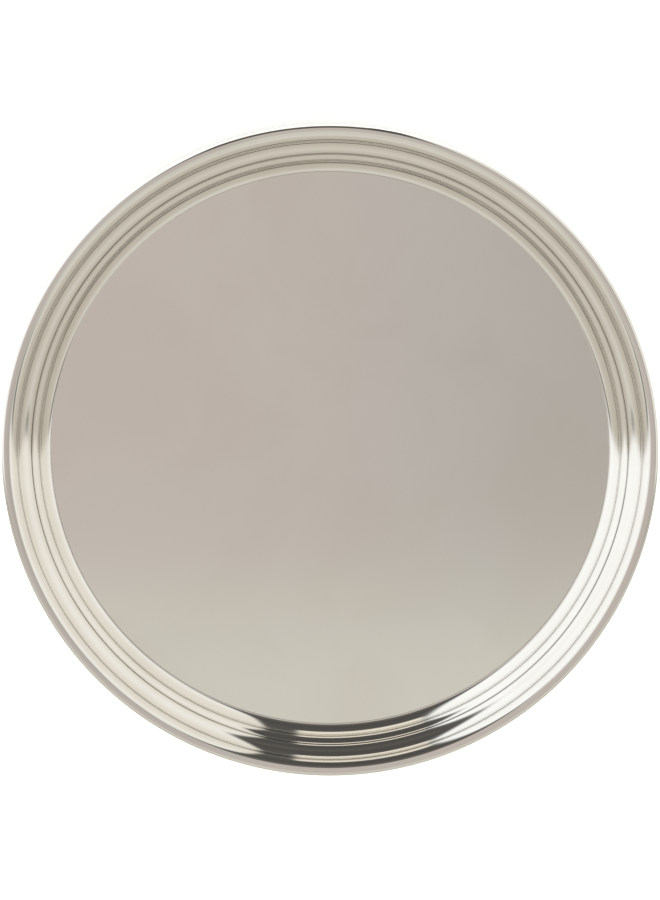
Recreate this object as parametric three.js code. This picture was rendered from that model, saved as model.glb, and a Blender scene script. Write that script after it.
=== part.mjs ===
// A round polished serving salver, 356 mm across, standing flat with its well facing up.
// A flat well plate lies on the seat of a spun, stepped border, and is soldered to it underneath.
// The border's edge is rolled over a core wire. Millimetres, +Z up, origin at the centre of the base.
import * as THREE from 'three';

// Overall sizes
const segments = 72;
const rimRadius = 178;
const sheet = 1.1;

// Well plate and its seat
const seatInnerRadius = 146;
const seatOuterRadius = 153.8;
const seatThickness = 0.9;
const wellRadius = 152.5;
const wellUnderside = 1.0;
const wellTop = 2.2;
const wallRadius = 152.8;

// Rolled rim: the border's own sheet turned down, in and up around a wire, with rounded corners
const rimCorner = 1.8;
const rimDepth = 5.4;
const rimInnerCorner = 174.6;
const rimCornerSteps = 3;
const hookTurn = 75;
const wireRadius = 1.3;
const wireSides = 8;
const wireCentre = 175.3;

// Solder fillet under the plate, against the seat's inner edge
const filletGap = 0.25;
const filletHeight = 0.65;
const filletWidth = 1.0;

// The border's upper face as stations: radius, height above the well, slope in degrees,
// and how many straight steps lead to the station from the one before it.
const borderStations = [
  { r: wallRadius, z: 0, slope: 0, steps: 0 },
  { r: 157.9, z: 2.9, slope: 42, steps: 3 },
  { r: 158.45, z: 4.6, slope: 85, steps: 2 },
  { r: 158.58, z: 6.25, slope: 86, steps: 1 },
  { r: 159.3, z: 7.25, slope: 38, steps: 2 },
  { r: 160.3, z: 7.9, slope: 26, steps: 1 },
  { r: 161.8, z: 8.8, slope: 42, steps: 1 },
  { r: 162.25, z: 9.6, slope: 72, steps: 1 },
  { r: 162.7, z: 10.4, slope: 42, steps: 1 },
  { r: 165.2, z: 11.8, slope: 20, steps: 2 },
  { r: 168.6, z: 13.9, slope: 45, steps: 2 },
  { r: 169.1, z: 15.2, slope: 85, steps: 2 },
  { r: 169.2, z: 16.6, slope: 86, steps: 1 },
  { r: 169.9, z: 17.8, slope: 42, steps: 2 },
  { r: 173.2, z: 19.6, slope: 9, steps: 2 },
  { r: rimRadius - rimCorner, z: 19.9, slope: 0, steps: 1 },
];

const rimTop = wellTop + borderStations[borderStations.length - 1].z;

const radians = (degrees) => degrees * Math.PI / 180;

// One bend of the sheet: a quadratic curve whose middle point is where the two end tangents cross.
function bend(from, to, steps) {
  const riseFrom = Math.tan(radians(from.slope));
  const riseTo = Math.tan(radians(to.slope));
  const run = (to.z - from.z - riseTo * (to.r - from.r)) / (riseFrom - riseTo);
  const curve = new THREE.QuadraticBezierCurve(
    new THREE.Vector2(from.r, from.z),
    new THREE.Vector2(from.r + run, from.z + riseFrom * run),
    new THREE.Vector2(to.r, to.z),
  );
  return curve.getPoints(steps).slice(1);
}

// The face of the border from the well out to the top of the rim, coarse or fine.
function borderFace(stepsOf) {
  const points = [new THREE.Vector2(borderStations[0].r, borderStations[0].z)];
  for (let i = 1; i < borderStations.length; i += 1) {
    points.push(...bend(borderStations[i - 1], borderStations[i], stepsOf(borderStations[i])));
  }
  return points.map((p) => new THREE.Vector2(p.x, p.y + wellTop));
}

// A line of points moved away from itself, along the normal at each point, to the outer side.
function offsetLine(points, distance) {
  return points.map((p, i) => {
    const before = points[Math.max(i - 1, 0)];
    const after = points[Math.min(i + 1, points.length - 1)];
    const inward = p.clone().sub(before).normalize();
    const outward = after.clone().sub(p).normalize();
    const along = inward.add(outward).normalize();
    return new THREE.Vector2(p.x + along.y * distance, p.y - along.x * distance);
  });
}

// One rounded corner of the rim, turned clockwise from a start angle about its own centre.
function corner(r, z, radius, startAngle, turn) {
  const points = [];
  for (let i = 0; i <= rimCornerSteps; i += 1) {
    const angle = radians(startAngle - turn * i / rimCornerSteps);
    points.push(new THREE.Vector2(r + radius * Math.cos(angle), z + radius * Math.sin(angle)));
  }
  return points;
}

// The rolled edge from the top of the rim outwards, down, in and up into a hook, on either face.
function rimRoll(radius) {
  const outer = rimRadius - rimCorner;
  const low = rimTop - rimDepth + rimCorner;
  return [
    ...corner(outer, rimTop - rimCorner, radius, 90, 90),
    ...corner(outer, low, radius, 0, 90),
    ...corner(rimInnerCorner, low, radius, -90, hookTurn),
  ];
}

// A closed outline, anticlockwise in radius and height, turned about the vertical axis.
function turned(name, outline, material) {
  const closed = [...outline, outline[0].clone()];
  const geometry = new THREE.LatheGeometry(closed, segments);
  geometry.rotateX(Math.PI / 2);
  const mesh = new THREE.Mesh(geometry, material);
  mesh.name = name;
  return mesh;
}

function wellPlate() {
  const outline = [
    new THREE.Vector2(0, wellUnderside),
    new THREE.Vector2(wellRadius, wellUnderside),
    new THREE.Vector2(wellRadius, wellTop),
    new THREE.Vector2(0, wellTop),
  ];
  const geometry = new THREE.LatheGeometry(outline, segments);
  geometry.rotateX(Math.PI / 2);
  const mesh = new THREE.Mesh(geometry, new THREE.MeshStandardMaterial({
    color: 0xbdb6ad,
    roughness: 0.12,
    metalness: 1,
  }));
  mesh.name = 'well_plate';
  return mesh;
}

function borderRing() {
  const upper = borderFace((station) => station.steps);
  const lower = offsetLine(borderFace((station) => Math.ceil(station.steps / 2)), sheet);
  const outline = [
    new THREE.Vector2(seatInnerRadius, 0),
    new THREE.Vector2(seatOuterRadius, 0),
    ...lower.slice(2, -1),
    ...rimRoll(rimCorner - sheet),
    ...rimRoll(rimCorner).slice(1).reverse(),
    ...upper.reverse(),
    new THREE.Vector2(wallRadius, seatThickness),
    new THREE.Vector2(seatInnerRadius, seatThickness),
  ];
  return turned('border_ring', outline, new THREE.MeshStandardMaterial({
    color: 0xd6d1c4,
    roughness: 0.08,
    metalness: 1,
  }));
}

function rimWire() {
  const centre = new THREE.Vector2(wireCentre, rimTop - rimDepth / 2);
  const outline = [];
  for (let i = 0; i < wireSides; i += 1) {
    const angle = radians(360 * i / wireSides);
    outline.push(new THREE.Vector2(
      centre.x + wireRadius * Math.cos(angle),
      centre.y + wireRadius * Math.sin(angle),
    ));
  }
  return turned('rim_wire', outline, new THREE.MeshStandardMaterial({
    color: 0xb99a55,
    roughness: 0.4,
    metalness: 1,
  }));
}

function solderFillet() {
  const outer = seatInnerRadius - filletGap;
  const top = wellUnderside - 0.1;
  const outline = [
    new THREE.Vector2(outer - filletWidth, top),
    new THREE.Vector2(outer, top - filletHeight),
    new THREE.Vector2(outer, top),
  ];
  return turned('solder_fillet', outline, new THREE.MeshStandardMaterial({
    color: 0xa9a6a0,
    roughness: 0.45,
    metalness: 1,
  }));
}

const salver = new THREE.Group();
salver.name = 'salver';
salver.add(wellPlate());
salver.add(borderRing());
salver.add(rimWire());
salver.add(solderFillet());

export default salver;
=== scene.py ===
import bpy
import numpy as np
from mathutils import Matrix, Vector


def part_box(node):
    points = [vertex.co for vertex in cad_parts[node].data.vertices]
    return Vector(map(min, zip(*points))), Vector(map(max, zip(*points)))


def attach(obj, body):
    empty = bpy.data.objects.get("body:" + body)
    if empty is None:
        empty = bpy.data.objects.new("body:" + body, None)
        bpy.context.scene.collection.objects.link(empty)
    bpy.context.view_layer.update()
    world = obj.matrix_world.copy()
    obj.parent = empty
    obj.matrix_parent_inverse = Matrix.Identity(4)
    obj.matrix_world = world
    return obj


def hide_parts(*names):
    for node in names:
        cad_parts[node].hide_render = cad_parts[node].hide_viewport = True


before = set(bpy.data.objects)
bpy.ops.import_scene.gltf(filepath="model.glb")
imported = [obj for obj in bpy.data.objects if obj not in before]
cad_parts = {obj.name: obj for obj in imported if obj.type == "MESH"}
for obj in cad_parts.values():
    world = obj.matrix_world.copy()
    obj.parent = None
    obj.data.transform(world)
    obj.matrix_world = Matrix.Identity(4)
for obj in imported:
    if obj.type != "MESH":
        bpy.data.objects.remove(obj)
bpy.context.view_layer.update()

# A round polished salver, flat on a pale table under soft studio light.
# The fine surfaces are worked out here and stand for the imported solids.

mm = 0.001
sharpAngle = 40
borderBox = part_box("border_ring")
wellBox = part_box("well_plate")
rimRadius = round(float(borderBox[1][0]), 4)
wellLevel = float(wellBox[1][2])
rimTop = float(borderBox[1][2])

borderShape = {
    # radius and height above the well in millimetres, slope in degrees
    "stations": [
        (152.8, 0, 0),
        (157.9, 2.9, 42),
        (158.45, 4.6, 85),
        (158.58, 6.25, 86),
        (159.3, 7.25, 38),
        (160.3, 7.9, 26),
        (161.8, 8.8, 42),
        (162.25, 9.6, 72),
        (162.7, 10.4, 42),
        (165.2, 11.8, 20),
        (168.6, 13.9, 45),
        (169.1, 15.2, 85),
        (169.2, 16.6, 86),
        (169.9, 17.8, 42),
        (173.2, 19.6, 9),
        (176.2, 19.9, 0),
    ],
    # steps between two stations, on the upper and on the lower face
    "stepsAbove": 6,
    "stepsBelow": 3,
    "sheet": 1.1,
    "rimCorner": 1.8,
    "rimDepth": 5.4,
    "rimInnerCorner": 174.6,
    "cornerSteps": 10,
    "hookTurn": 75,
    "seatInner": 146.0,
    "seatOuter": 153.8,
    "seatThickness": 0.9,
    "seatEase": 0.06,
    "seatOuterEase": 0.1,
    # the lower face of the sheet is taken from this radius outwards, where it has left the seat
    "undersideFrom": 158.6,
    "turns": 448,
}

plateShape = {
    "radius": 152.65,
    "edgeRound": 0.12,
    "underside": 1.0,
    "edgeRings": (0.3, 0.03),
    "rings": 26,
    "turns": 480,
}

wireShape = {"radius": 1.3, "centre": 175.3, "sides": 24, "turns": 360}
filletShape = {"gap": 0.25, "width": 1.0, "height": 0.65, "below": 0.1, "sag": (0.066, 0.0996), "turns": 360}


def hexTone(code):
    # a display colour such as "c8c2b4" as linear light
    v = np.array([int(code[i:i + 2], 16) for i in (0, 2, 4)]) / 255
    return np.where(v <= 0.04045, v / 12.92, ((v + 0.055) / 1.055) ** 2.4)


def bendPoints(a, b, steps):
    # quadratic curve: (1-t)^2 A + 2t(1-t) C + t^2 B, where C is the crossing of the end tangents
    riseA, riseB = np.tan(np.radians([a[2], b[2]]))
    run = (b[1] - a[1] - riseB * (b[0] - a[0])) / (riseA - riseB)
    start, end = np.array(a[:2]), np.array(b[:2])
    corner = start + np.array([run, riseA * run])
    t = np.linspace(0, 1, steps + 1)[1:, None]
    return (1 - t) ** 2 * start + 2 * t * (1 - t) * corner + t ** 2 * end


def borderFace(steps):
    # the upper face from the well's edge to the top of the rim, as (radius, height) in millimetres
    stations = borderShape["stations"]
    parts = [np.array([stations[0][:2]])]
    parts += [bendPoints(a, b, steps) for a, b in zip(stations[:-1], stations[1:])]
    face = np.concatenate(parts)
    face[:, 1] += wellLevel / mm
    return face


def shiftedLine(line, distance):
    # each point moved along the mean normal of its two neighbouring edges
    edges = np.diff(line, axis=0)
    edges /= np.linalg.norm(edges, axis=1, keepdims=True)
    along = np.concatenate([edges[:1], edges[:-1] + edges[1:], edges[-1:]])
    along /= np.linalg.norm(along, axis=1, keepdims=True)
    return line + distance * np.stack([along[:, 1], -along[:, 0]], axis=1)


def rimRoll(radius):
    # three rounded corners joined by straight runs: top outer, bottom outer, then up into a hook;
    # each is centre + radius (cos, sin), turned clockwise
    shape = borderShape
    top = rimTop / mm
    outer, low = rimRadius / mm - shape["rimCorner"], top - shape["rimDepth"] + shape["rimCorner"]
    corners = ((outer, top - shape["rimCorner"], 90, 90), (outer, low, 0, 90),
               (shape["rimInnerCorner"], low, -90, shape["hookTurn"]))
    turn = np.linspace(0, 1, shape["cornerSteps"] + 1)
    arcs = []
    for r, z, startAngle, sweep in corners:
        angle = np.radians(startAngle - sweep * turn)
        arcs.append(np.stack([r + radius * np.cos(angle), z + radius * np.sin(angle)], axis=1))
    return np.concatenate(arcs)


def turned(name, outline, turns):
    # outline points (r, z) in millimetres turned about Z: (r cos a, r sin a, z);
    # a point on the axis becomes one vertex, any other a ring of them
    outline = np.asarray(outline) * mm
    onAxis = outline[:, 0] < 1e-9
    angle = np.linspace(0, 2 * np.pi, turns, endpoint=False)
    spin = np.stack([np.cos(angle), np.sin(angle)], axis=1)
    ring = np.concatenate([outline[:, None, :1] * spin[None],
                           np.broadcast_to(outline[:, None, 1:], (len(outline), turns, 1))], axis=2)
    rings = ring[~onAxis].reshape(-1, 3)
    poles = ring[onAxis][:, 0]
    count = int((~onAxis).sum())
    at = np.arange(count * turns).reshape(count, turns)
    low, high = (at, np.roll(at, -1, axis=0)) if not onAxis.any() else (at[:-1], at[1:])
    quads = np.stack([low, np.roll(low, -1, axis=1), np.roll(high, -1, axis=1), high], axis=-1)
    faces = quads.reshape(-1, 4).tolist()
    if onAxis.any():
        bottom, top = count * turns, count * turns + 1
        first, last = at[0], at[-1]
        faces += np.stack([np.full(turns, bottom), np.roll(first, -1), first], axis=1).tolist()
        faces += np.stack([np.full(turns, top), last, np.roll(last, -1)], axis=1).tolist()
    mesh = bpy.data.meshes.new(name)
    mesh.from_pydata(np.concatenate([rings, poles]).tolist(), [], faces)
    mesh.polygons.foreach_set("use_smooth", np.ones(len(mesh.polygons), bool))
    mesh.set_sharp_from_angle(angle=np.radians(sharpAngle))
    mesh.update()
    piece = bpy.data.objects.new(name, mesh)
    bpy.context.collection.objects.link(piece)
    return piece


def makeBorder():
    shape = borderShape
    face = borderFace(shape["stepsAbove"])
    under = shiftedLine(borderFace(shape["stepsBelow"]), shape["sheet"])
    under = under[under[:, 0] > shape["undersideFrom"]]
    inner, outer, thick, ease = (shape[k] for k in ("seatInner", "seatOuter", "seatThickness", "seatEase"))
    outline = np.concatenate([
        [[inner, ease], [inner + ease, 0], [outer - shape["seatOuterEase"], 0], [outer, ease]],
        under[:-1],
        rimRoll(shape["rimCorner"] - shape["sheet"]),
        rimRoll(shape["rimCorner"])[:0:-1],
        face[::-1],
        [[shape["stations"][0][0], thick], [inner + ease, thick], [inner, thick - ease]],
    ])
    return turned("border", outline, shape["turns"])


def makePlate():
    shape = plateShape
    low, high, edge = shape["underside"], wellLevel / mm, shape["radius"]
    flat = edge - shape["edgeRound"]
    # the last rings lie close to the edge, so that the face is shaded flat right up to it
    wide, narrow = shape["edgeRings"]
    radii = np.append(np.linspace(0, flat - wide, shape["rings"]), [flat - narrow, flat])
    spread = radii[:, None] * [1, 0]
    rounding = np.radians(np.linspace(-90, 90, 9))[:, None]
    ease = shape["edgeRound"]
    corner = np.concatenate([
        [flat, low + ease] + ease * np.concatenate([np.cos(rounding[:5]), np.sin(rounding[:5])], 1),
        [flat, high - ease] + ease * np.concatenate([np.cos(rounding[4:]), np.sin(rounding[4:])], 1),
    ])
    outline = np.concatenate([spread[:-1] + [0, low], corner, spread[-2::-1] + [0, high]])
    return turned("plate", outline, shape["turns"])


def makeWire():
    centre = np.array([wireShape["centre"], rimTop / mm - borderShape["rimDepth"] / 2])
    angle = np.linspace(0, 2 * np.pi, wireShape["sides"], endpoint=False)
    circle = centre + wireShape["radius"] * np.stack([np.cos(angle), np.sin(angle)], axis=1)
    return turned("coreWire", circle, wireShape["turns"])


def makeFillet():
    # a bead with a hollow face: the slope between its toes sags inwards by a sine
    shape = filletShape
    outer = borderShape["seatInner"] - shape["gap"]
    top = plateShape["underside"] - shape["below"]
    t = np.linspace(0, 1, 9)[:, None]
    toe, heel = np.array([outer - shape["width"], top]), np.array([outer, top - shape["height"]])
    sag = np.sin(np.pi * t) * np.array(shape["sag"])
    outline = np.concatenate([toe + t * (heel - toe) + sag, [[outer, top]]])
    return turned("solderBead", outline, shape["turns"])


def node(tree, kind, label=None, **inputs):
    n = tree.nodes.new(kind)
    if label:
        n.label = label
    for key, value in inputs.items():
        if key in n.inputs:
            n.inputs[key].default_value = value
        else:
            setattr(n, key, value)
    return n


def polishGroup():
    # marks of the polishing wheel: fine rings about the axis and faint straight wiping hairlines
    group = bpy.data.node_groups.new("Polish marks", "ShaderNodeTree")
    for name, value in (("Ring spacing", 900.0), ("Hairline spacing", 240.0), ("Hairline share", 0.5)):
        socket = group.interface.new_socket(name, in_out="INPUT", socket_type="NodeSocketFloat")
        socket.default_value = value
    group.interface.new_socket("Vector", in_out="INPUT", socket_type="NodeSocketVector")
    group.interface.new_socket("Marks", in_out="OUTPUT", socket_type="NodeSocketFloat")
    link = group.links.new
    entry = node(group, "NodeGroupInput")
    leave = node(group, "NodeGroupOutput")
    split = node(group, "ShaderNodeSeparateXYZ")
    flat = node(group, "ShaderNodeCombineXYZ")
    radius = node(group, "ShaderNodeVectorMath", operation="LENGTH")
    link(entry.outputs["Vector"], split.inputs[0])
    link(split.outputs["X"], flat.inputs["X"])
    link(split.outputs["Y"], flat.inputs["Y"])
    link(flat.outputs[0], radius.inputs[0])
    ringPlace = node(group, "ShaderNodeMath", operation="MULTIPLY")
    link(radius.outputs["Value"], ringPlace.inputs[0])
    link(entry.outputs["Ring spacing"], ringPlace.inputs[1])
    rings = node(group, "ShaderNodeTexNoise", noise_dimensions="1D", Scale=1.0, Detail=3.0, Roughness=0.7)
    link(ringPlace.outputs[0], rings.inputs["W"])
    turn = node(group, "ShaderNodeMapping")
    turn.inputs["Rotation"].default_value = (0, 0, 0.5)
    turn.inputs["Scale"].default_value = (0.05, 1, 1)
    link(entry.outputs["Vector"], turn.inputs["Vector"])
    hairs = node(group, "ShaderNodeTexNoise", Detail=4.0, Roughness=0.75)
    link(turn.outputs[0], hairs.inputs["Vector"])
    link(entry.outputs["Hairline spacing"], hairs.inputs["Scale"])
    blend = node(group, "ShaderNodeMix", data_type="FLOAT")
    link(entry.outputs["Hairline share"], blend.inputs["Factor"])
    link(rings.outputs["Fac"], blend.inputs["A"])
    link(hairs.outputs["Fac"], blend.inputs["B"])
    link(blend.outputs[0], leave.inputs["Marks"])
    return group


def handlingGroup():
    # slow cloudy patches, as wiping and handling leave on a bright surface
    group = bpy.data.node_groups.new("Handling film", "ShaderNodeTree")
    group.interface.new_socket("Vector", in_out="INPUT", socket_type="NodeSocketVector")
    size = group.interface.new_socket("Patch scale", in_out="INPUT", socket_type="NodeSocketFloat")
    size.default_value = 14.0
    group.interface.new_socket("Film", in_out="OUTPUT", socket_type="NodeSocketFloat")
    link = group.links.new
    entry = node(group, "NodeGroupInput")
    leave = node(group, "NodeGroupOutput")
    cloud = node(group, "ShaderNodeTexNoise", Detail=5.0, Roughness=0.55, Distortion=0.6)
    link(entry.outputs["Vector"], cloud.inputs["Vector"])
    link(entry.outputs["Patch scale"], cloud.inputs["Scale"])
    spread = node(group, "ShaderNodeMapRange", interpolation_type="SMOOTHSTEP")
    spread.inputs["From Min"].default_value = 0.38
    spread.inputs["From Max"].default_value = 0.66
    link(cloud.outputs["Fac"], spread.inputs["Value"])
    link(spread.outputs[0], leave.inputs["Film"])
    return group


def paintedShadeLineGroup():
    # painted shade: a thin dark line about one circle of the border, standing for the dark line that a
    # riser's reflection shows;
    # 1 - smoothstep of the distance from (radius, height), broken up by patches round the ring
    group = bpy.data.node_groups.new("Painted shade line", "ShaderNodeTree")
    group.interface.new_socket("Vector", in_out="INPUT", socket_type="NodeSocketVector")
    for name, value in (("Radius", 0.16), ("Height", 0.01), ("Width", 0.0004)):
        socket = group.interface.new_socket(name, in_out="INPUT", socket_type="NodeSocketFloat")
        socket.default_value = value
    group.interface.new_socket("Line", in_out="OUTPUT", socket_type="NodeSocketFloat")
    link = group.links.new
    entry = node(group, "NodeGroupInput")
    leave = node(group, "NodeGroupOutput")
    split = node(group, "ShaderNodeSeparateXYZ")
    flat = node(group, "ShaderNodeCombineXYZ")
    radius = node(group, "ShaderNodeVectorMath", operation="LENGTH")
    link(entry.outputs["Vector"], split.inputs[0])
    link(split.outputs["X"], flat.inputs["X"])
    link(split.outputs["Y"], flat.inputs["Y"])
    link(flat.outputs[0], radius.inputs[0])
    here = node(group, "ShaderNodeCombineXYZ")
    link(radius.outputs["Value"], here.inputs["X"])
    link(split.outputs["Z"], here.inputs["Y"])
    circle = node(group, "ShaderNodeCombineXYZ")
    link(entry.outputs["Radius"], circle.inputs["X"])
    link(entry.outputs["Height"], circle.inputs["Y"])
    away = node(group, "ShaderNodeVectorMath", operation="DISTANCE")
    link(here.outputs[0], away.inputs[0])
    link(circle.outputs[0], away.inputs[1])
    fade = node(group, "ShaderNodeMapRange", interpolation_type="SMOOTHSTEP")
    link(away.outputs["Value"], fade.inputs["Value"])
    link(entry.outputs["Width"], fade.inputs["From Max"])
    fade.inputs["To Min"].default_value = 1.0
    fade.inputs["To Max"].default_value = 0.0
    patches = node(group, "ShaderNodeTexNoise", Scale=16.0, Detail=3.0)
    link(entry.outputs["Vector"], patches.inputs["Vector"])
    strength = node(group, "ShaderNodeMapRange")
    strength.inputs["From Min"].default_value = 0.3
    strength.inputs["From Max"].default_value = 0.7
    strength.inputs["To Min"].default_value = 0.7
    link(patches.outputs["Fac"], strength.inputs["Value"])
    product = node(group, "ShaderNodeMath", operation="MULTIPLY")
    link(fade.outputs[0], product.inputs[0])
    link(strength.outputs[0], product.inputs[1])
    link(product.outputs[0], leave.inputs["Line"])
    return group


polishMarks = polishGroup()
handlingFilm = handlingGroup()
paintedShadeLine = paintedShadeLineGroup()

paintedRiserShade = {
    # painted shade lines: radius and height above the well, and reach, in millimetres, on the steepest part
    # of each riser
    "circles": ((158.5, 5.6, 1.25), (162.27, 9.7, 0.85), (169.15, 15.9, 1.25)),
    "tone": "332c25",
}

finishes = {
    # clean and filmed tones, the range of roughness, and the strength and make-up of the polishing marks
    "Well silver": {"clean": "f8f8f6", "film": "f5f4f1", "rough": (0.06, 0.10), "marks": 0.015,
                    "ringSpacing": 900.0, "hairShare": 0.5},
    "Border silver": {"clean": "f8f8f6", "film": "f4f3f0", "rough": (0.008, 0.025), "marks": 0.006,
                      "ringSpacing": 1400.0, "hairShare": 0.1},
    "Wire brass": {"clean": "c9a15a", "film": "a8874f", "rough": (0.3, 0.45), "marks": 0.2,
                   "ringSpacing": 400.0, "hairShare": 0.3},
    "Solder grey": {"clean": "a9a6a0", "film": "8f8b83", "rough": (0.35, 0.5), "marks": 0.2,
                    "ringSpacing": 300.0, "hairShare": 0.6},
}


def metalMaterial(name):
    finish = finishes[name]
    material = bpy.data.materials.new(name)
    material.use_nodes = True
    tree = material.node_tree
    shader = tree.nodes["Principled BSDF"]
    shader.inputs["Metallic"].default_value = 1.0
    link = tree.links.new
    coordinates = node(tree, "ShaderNodeTexCoord")
    marks = node(tree, "ShaderNodeGroup")
    marks.node_tree = polishMarks
    marks.inputs["Ring spacing"].default_value = finish["ringSpacing"]
    marks.inputs["Hairline share"].default_value = finish["hairShare"]
    film = node(tree, "ShaderNodeGroup")
    film.node_tree = handlingFilm
    link(coordinates.outputs["Object"], marks.inputs["Vector"])
    link(coordinates.outputs["Object"], film.inputs["Vector"])
    tone = node(tree, "ShaderNodeMix", data_type="RGBA")
    tone.inputs["A"].default_value = (*hexTone(finish["clean"]), 1)
    tone.inputs["B"].default_value = (*hexTone(finish["film"]), 1)
    link(film.outputs["Film"], tone.inputs["Factor"])
    link(tone.outputs["Result"], shader.inputs["Base Color"])
    dullness = node(tree, "ShaderNodeMath", operation="MULTIPLY_ADD")
    dullness.inputs[1].default_value = 0.6
    link(film.outputs["Film"], dullness.inputs[0])
    link(marks.outputs["Marks"], dullness.inputs[2])
    rough = node(tree, "ShaderNodeMapRange")
    rough.inputs["From Min"].default_value = 0.3
    rough.inputs["From Max"].default_value = 1.2
    rough.inputs["To Min"].default_value = finish["rough"][0]
    rough.inputs["To Max"].default_value = finish["rough"][1]
    link(dullness.outputs[0], rough.inputs["Value"])
    link(rough.outputs[0], shader.inputs["Roughness"])
    bump = node(tree, "ShaderNodeBump")
    bump.inputs["Strength"].default_value = finish["marks"]
    bump.inputs["Distance"].default_value = 0.00002
    link(marks.outputs["Marks"], bump.inputs["Height"])
    link(bump.outputs[0], shader.inputs["Normal"])
    return material


def addPaintedRiserShade(material):
    # the circles' painted shade lines, the strongest of them at each point, darken the colour
    tree = material.node_tree
    link = tree.links.new
    shader = tree.nodes["Principled BSDF"]
    plain = shader.inputs["Base Color"].links[0].from_socket
    coordinates = node(tree, "ShaderNodeTexCoord")
    strongest = None
    for radius, height, reach in paintedRiserShade["circles"]:
        line = node(tree, "ShaderNodeGroup")
        line.node_tree = paintedShadeLine
        line.inputs["Radius"].default_value = radius * mm
        line.inputs["Height"].default_value = wellLevel + height * mm
        line.inputs["Width"].default_value = reach * mm
        link(coordinates.outputs["Object"], line.inputs["Vector"])
        if strongest is None:
            strongest = line.outputs["Line"]
            continue
        larger = node(tree, "ShaderNodeMath", operation="MAXIMUM")
        link(strongest, larger.inputs[0])
        link(line.outputs["Line"], larger.inputs[1])
        strongest = larger.outputs[0]
    tone = node(tree, "ShaderNodeMix", data_type="RGBA")
    tone.inputs["B"].default_value = (*hexTone(paintedRiserShade["tone"]), 1)
    link(strongest, tone.inputs["Factor"])
    link(plain, tone.inputs["A"])
    link(tone.outputs["Result"], shader.inputs["Base Color"])
    return material


def dress(piece, material, nodeName):
    piece.data.materials.append(material)
    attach(piece, "root")
    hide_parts(nodeName)


print("shapes")
plate = makePlate()
border = makeBorder()
coreWire = makeWire()
solderBead = makeFillet()

print("finishes")
dress(plate, metalMaterial("Well silver"), "well_plate")
# the border's colour carries painted shade lines on its risers
dress(border, addPaintedRiserShade(metalMaterial("Border silver")), "border_ring")
dress(coreWire, metalMaterial("Wire brass"), "rim_wire")
dress(solderBead, metalMaterial("Solder grey"), "solder_fillet")


studio = {
    "camera": {"tilt": 8.1, "distanceInRadii": 8.0, "lens": 105.3, "aimShift": 0.0181},
    # the light tent is laid out in degrees from straight up: x to the right, y to the back
    "tent": {
        "reach": 6.0, "around": 720, "down": 181, "firstAngle": 0.25, "strength": 1.04,
        "frontEdge": -11.7, "frontSoft": 0.9,
        "hoodRadius": 12.4, "hoodCentre": -4.4, "hoodSoft": 0.7,
        "seamFrom": 10.5, "seamTo": 38.0, "seamAt": -12.6, "seamHalf": 1.5,
        "seamFromSoft": 1.0, "seamToSoft": 4.0, "seamHalfSoft": 0.4,
        # the gap's two sides as distance from the middle and how much they open towards the back
        "gapRight": (7.8, 0.165), "gapLeft": (14.0, 0.21), "gapStart": 6.9,
        "gapRightSoft": 0.4, "gapLeftSoft": 0.8, "gapStartSoft": 0.5,
        "windowAzimuth": (82.5, 112.0), "windowAngle": (65.0, 88.0),
        "windowSideSoft": 0.4, "windowEndSoft": 0.6,
        "middleSoft": 1.0,
        # tones: the hood's by place from left to right, the others' by angle from straight up
        "hood": ((-7, "c0b6af"), (0, "beb5ae"), (3.6, "b7b1ab"), (7, "b2aba4")),
        "front": ((8, "c2beb3"), (14, "cecabf"), (22, "cdc9bf"), (36, "d5d1c7"), (46, "cbc5b9"),
                  (60, "c3bcaf"), (79, "bbb4a6"), (83, "877f74"), (90, "3d3934")),
        "leftPanel": ((12, "dcdad5"), (22, "f4f3f1"), (40, "fffffd"), (90, "f8f7f4")),
        "rightPanel": ((12, "dad7d0"), (22, "efede7"), (40, "ece8e0"), (60, "e4ded2"), (90, "e1dbcf")),
        "gap": ((8, "6b6761"), (40, "4d4b48"), (90, "5c5a56")),
        "seam": ((8, "5f5a53"), (40, "6b665e")),
        "window": ((50, "e8e0d0"), (90, "ece3d3")),
    },
    "table": {"points": 33, "half": 9, "level": -0.0002,
              "tone": (0.9, 0.9, 0.89), "rough": 0.9, "sheen": 0.1},
    "lamp": {"place": (0.3, -0.4, 2.6), "size": 3.0, "power": 40},
    "air": {"tone": "f2f1ef", "strength": 1.45},
}


def softStep(x, width):
    return 1 / (1 + np.exp(-np.clip(x / width, -30, 30)))


def toneAlong(angle, stops):
    # tones named at a few angles from straight up, mixed evenly between them
    at = [a for a, _ in stops]
    tones = np.sqrt(np.array([hexTone(code) for _, code in stops]))
    return np.stack([np.interp(angle, at, tones[:, c]) for c in range(3)], axis=-1) ** 2


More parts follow.
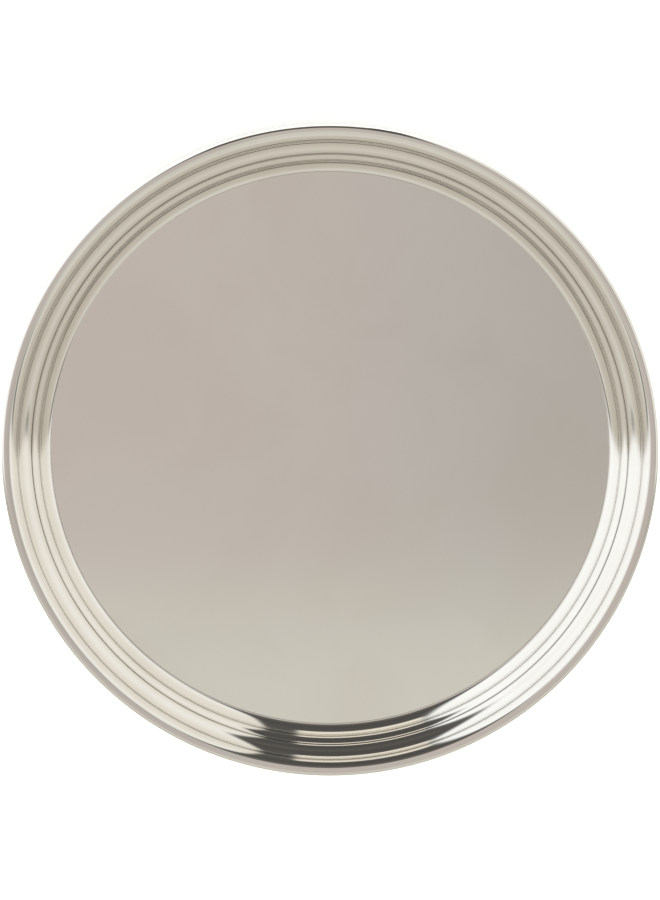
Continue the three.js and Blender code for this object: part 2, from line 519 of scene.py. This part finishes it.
def makeTent():
    # a dome of soft panels about the salver: left and right panels, a front sheet up to a straight
    # edge, a dim hood overhead, and a dark gap at the back with one bright window in it
    tent = studio["tent"]
    around, down = tent["around"], tent["down"]
    azimuth = np.linspace(0, 360, around, endpoint=False)[None, :]
    angle = np.linspace(tent["firstAngle"], 90, down)[:, None]
    a, b = np.radians(azimuth), np.radians(angle)
    verts = tent["reach"] * np.stack([np.sin(b) * np.cos(a), np.sin(b) * np.sin(a),
                                      np.cos(b) * np.ones_like(a)], axis=-1)
    x, y = angle * np.cos(a), angle * np.sin(a)
    front = softStep(tent["frontEdge"] - y, tent["frontSoft"])
    disc = softStep(tent["hoodRadius"] - np.hypot(x, y - tent["hoodCentre"]), tent["hoodSoft"])
    seam = (softStep(abs(x) - tent["seamFrom"], tent["seamFromSoft"])
            * softStep(tent["seamTo"] - abs(x), tent["seamToSoft"])
            * softStep(tent["seamHalf"] - abs(y - tent["seamAt"]), tent["seamHalfSoft"]) * (1 - disc))
    rightOf, leftOf = tent["gapRight"], tent["gapLeft"]
    gap = (softStep(rightOf[0] + rightOf[1] * np.maximum(y, 0) - x, tent["gapRightSoft"])
           * softStep(x + leftOf[0] + leftOf[1] * np.maximum(y, 0), tent["gapLeftSoft"])
           * softStep(y - tent["gapStart"], tent["gapStartSoft"]))
    low, high = tent["windowAzimuth"], tent["windowAngle"]
    side, end = tent["windowSideSoft"], tent["windowEndSoft"]
    window = (softStep(azimuth - low[0], side) * softStep(low[1] - azimuth, side)
              * softStep(angle - high[0], end) * softStep(high[1] - angle, end))
    clear = (1 - front) * (1 - disc)
    left = softStep(-x, tent["middleSoft"])
    shares = {"hood": disc * (1 - front), "front": front, "gap": clear * gap * (1 - window),
              "window": clear * gap * window, "leftPanel": clear * (1 - gap) * left,
              "rightPanel": clear * (1 - gap) * (1 - left)}
    colour = np.zeros(x.shape + (3,))
    spread = angle * np.ones_like(a)
    for part, share in shares.items():
        along = x if part == "hood" else spread
        colour += (share * (1 - seam))[..., None] * toneAlong(along, tent[part])
    colour += seam[..., None] * toneAlong(spread, tent["seam"])
    at = np.arange(around * down).reshape(down, around)
    beside = np.roll(at, -1, axis=1)
    faces = np.stack([at[:-1], at[1:], beside[1:], beside[:-1]], axis=-1).reshape(-1, 4)
    mesh = bpy.data.meshes.new("light tent")
    mesh.from_pydata(verts.reshape(-1, 3).tolist(), [], faces.tolist() + [at[0].tolist()])
    colours = np.concatenate([colour.reshape(-1, 3), np.ones((around * down, 1))], axis=1)
    mesh.attributes.new("tone", "FLOAT_COLOR", "POINT").data.foreach_set("color", colours.ravel())
    material = bpy.data.materials.new("Tent cloth")
    material.use_nodes = True
    tree = material.node_tree
    tree.nodes.remove(tree.nodes["Principled BSDF"])
    glow = node(tree, "ShaderNodeEmission", Strength=tent["strength"])
    tone = node(tree, "ShaderNodeAttribute", attribute_name="tone")
    tree.links.new(tone.outputs["Color"], glow.inputs["Color"])
    tree.links.new(glow.outputs[0], tree.nodes["Material Output"].inputs["Surface"])
    mesh.materials.append(material)
    dome = bpy.data.objects.new("light tent", mesh)
    bpy.context.collection.objects.link(dome)
    dome.visible_camera = False
    dome.visible_shadow = False
    dome.visible_diffuse = False


def makeTable():
    # a flat white square just under the salver, wide enough to fill every view
    look = studio["table"]
    n, half, level = look["points"], look["half"], look["level"]
    x, y = np.meshgrid(np.linspace(-half, half, n), np.linspace(-half, half, n))
    z = np.full_like(x, level)
    at = np.arange(n * n).reshape(n, n)
    faces = np.stack([at[:-1, :-1], at[:-1, 1:], at[1:, 1:], at[1:, :-1]], axis=-1).reshape(-1, 4)
    mesh = bpy.data.meshes.new("table")
    mesh.from_pydata(np.stack([x, y, z], axis=-1).reshape(-1, 3).tolist(), [], faces.tolist())
    material = bpy.data.materials.new("Table white")
    material.use_nodes = True
    shader = material.node_tree.nodes["Principled BSDF"]
    shader.inputs["Base Color"].default_value = (*look["tone"], 1)
    shader.inputs["Roughness"].default_value = look["rough"]
    shader.inputs["Specular IOR Level"].default_value = look["sheen"]
    mesh.materials.append(material)
    table = bpy.data.objects.new("table", mesh)
    bpy.context.collection.objects.link(table)


def makeLamp():
    # a square lamp above the table, turned to the salver; it isn't mirrored in the silver
    look = studio["lamp"]
    light = bpy.data.lights.new("tableLight", "AREA")
    light.shape = "SQUARE"
    light.size = look["size"]
    light.energy = look["power"]
    lamp = bpy.data.objects.new("tableLight", light)
    lamp.location = look["place"]
    lamp.rotation_euler = (-Vector(look["place"])).to_track_quat("-Z", "Y").to_euler()
    bpy.context.collection.objects.link(lamp)
    lamp.visible_glossy = False


def makeWorld():
    world = bpy.data.worlds.new("studio air")
    world.use_nodes = True
    air = world.node_tree.nodes["Background"]
    air.inputs["Color"].default_value = (*hexTone(studio["air"]["tone"]), 1)
    air.inputs["Strength"].default_value = studio["air"]["strength"]
    bpy.context.scene.world = world


def lookMatrix(across, back, place):
    up = back.cross(across)
    rows = [[across[i], up[i], back[i], place[i]] for i in range(3)]
    return Matrix(rows + [[0, 0, 0, 1]])


def makeCamera():
    view = studio["camera"]
    tilt = np.radians(view["tilt"])
    aim = Vector((0, 0, rimTop - borderShape["rimCorner"] * mm))
    away = Vector((0, np.sin(tilt), np.cos(tilt)))
    lift = Vector((0, np.cos(tilt), -np.sin(tilt)))
    data = bpy.data.cameras.new("camera")
    data.sensor_fit = "VERTICAL"
    data.sensor_height = 36
    data.lens = view["lens"]
    camera = bpy.data.objects.new("camera", data)
    camera.location = aim + away * view["distanceInRadii"] * rimRadius
    look = camera.location - (aim + lift * view["aimShift"] * rimRadius)
    across = Vector((1, 0, 0))
    camera.matrix_world = lookMatrix(across, look.normalized(), camera.location)
    bpy.context.collection.objects.link(camera)
    bpy.context.scene.camera = camera


print("studio")
makeTent()
makeTable()
makeLamp()
makeWorld()
makeCamera()
bpy.context.scene.view_settings.view_transform = "Standard"
